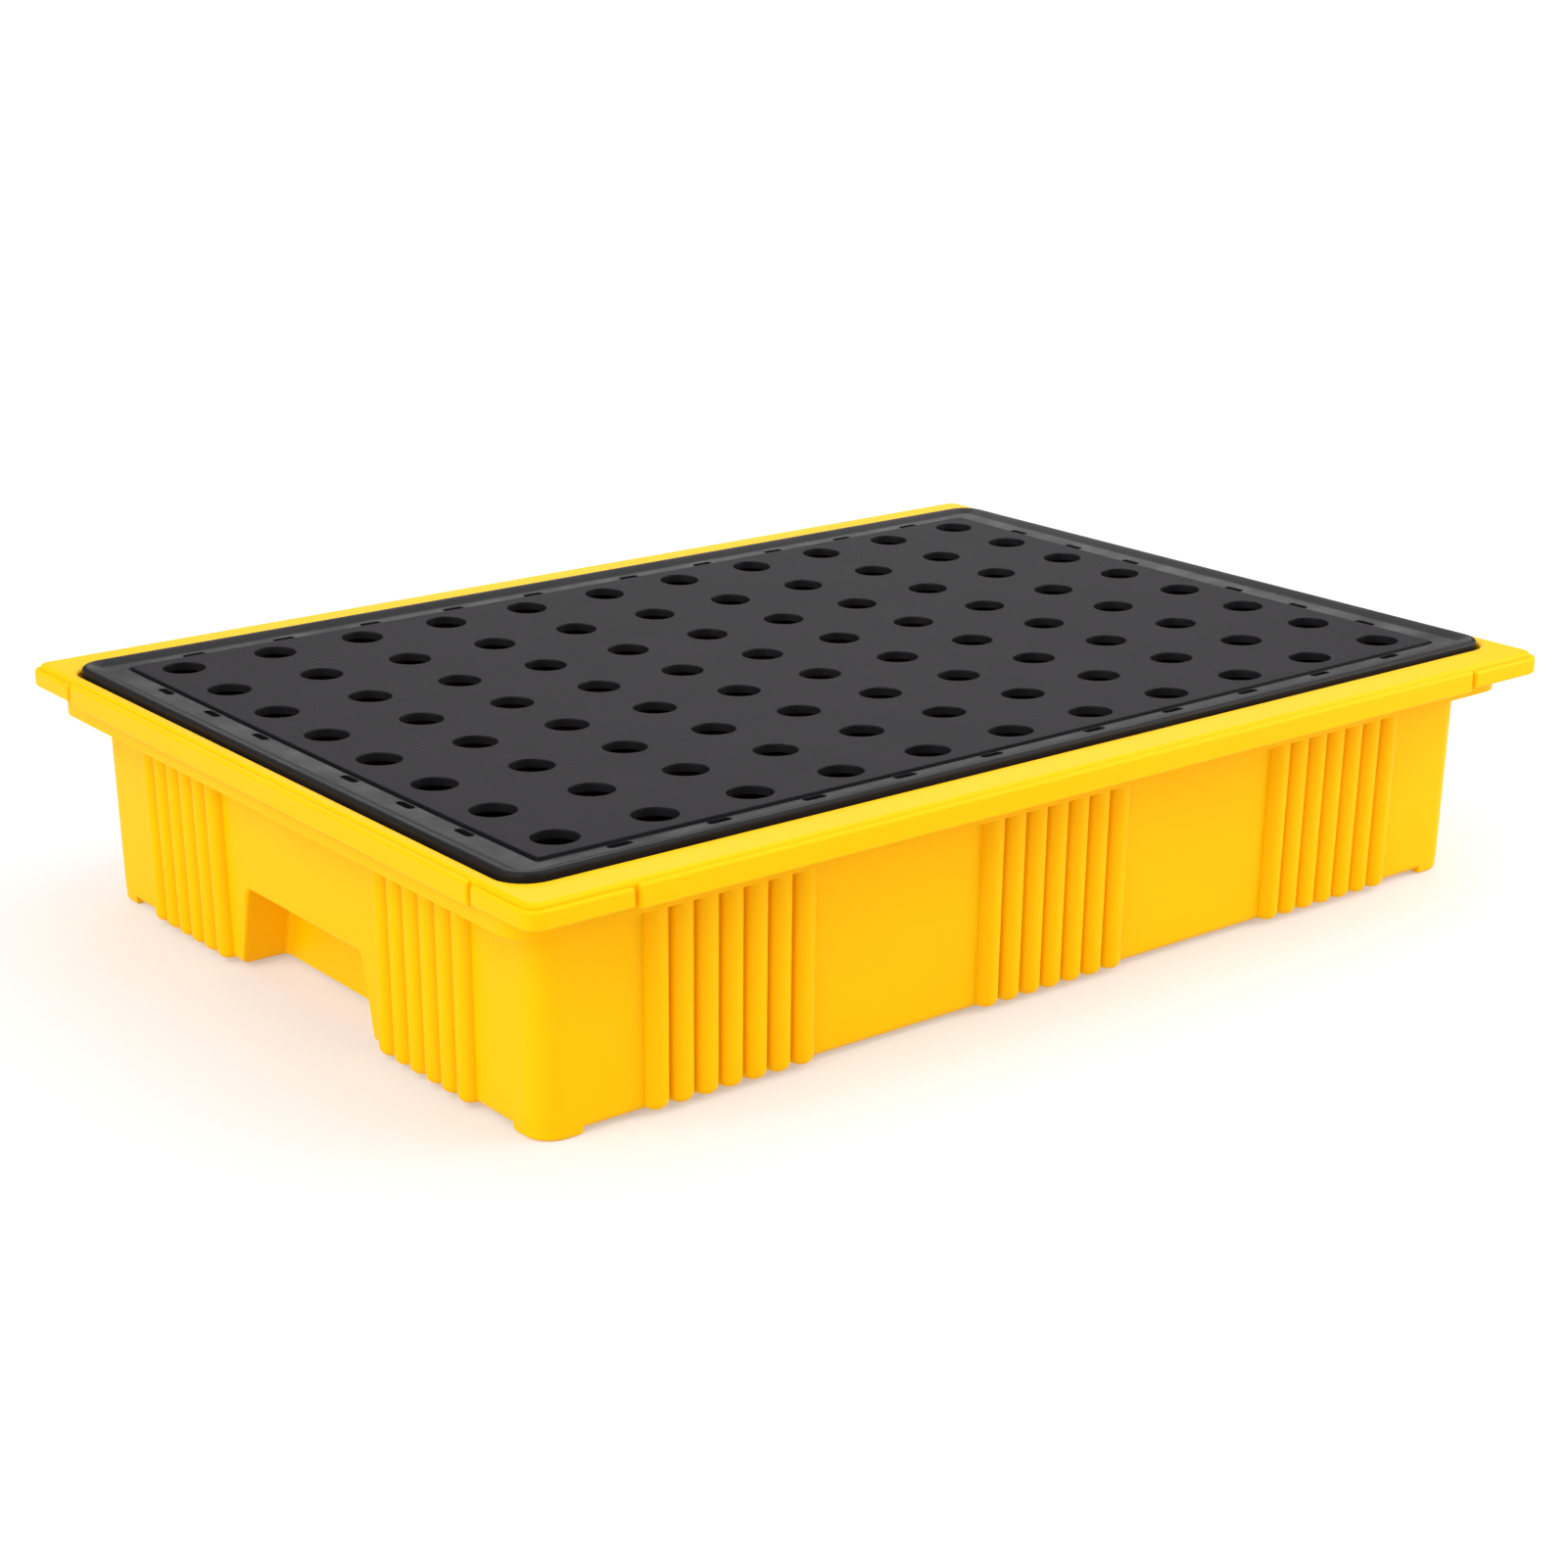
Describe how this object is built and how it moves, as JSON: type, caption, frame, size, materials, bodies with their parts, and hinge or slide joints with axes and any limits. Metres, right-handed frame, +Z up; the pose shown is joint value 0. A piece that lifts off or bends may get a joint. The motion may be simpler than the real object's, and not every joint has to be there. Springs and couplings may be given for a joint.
{
  "type": "spill containment pallet",
  "caption": "Low spill pallet: yellow flanged polyethylene sump tray with ribbed walls, a lift-off black perforated drum deck, and loose pipe columns under the deck.",
  "frame": {"origin": "on the floor at the middle of the footprint, under the four corner feet", "axes": "+X along the long side, +Y across to a long side, +Z up out of the deck"},
  "size_m": [1.293, 0.956, 0.258],
  "materials": {
    "yellow_polyethylene": "satin moulded",
    "black_polyethylene": "fine grained",
    "black_pipe": "extruded satin"
  },
  "bodies": {
    "sump": {"sump_tray": "yellow_polyethylene", "support_column_1": "black_pipe", "support_column_2": "black_pipe", "support_column_3": "black_pipe", "support_column_4": "black_pipe", "support_column_5": "black_pipe", "support_column_6": "black_pipe", "support_column_7": "black_pipe", "support_column_8": "black_pipe"},
    "deck": {"deck_grate": "black_polyethylene"}
  },
  "joints": [
    {"name": "deck_lift_off", "type": "slide", "parent": "sump", "child": "deck", "axis": [0, 0, 1], "range_m": [0, 0.3]}
  ]
}
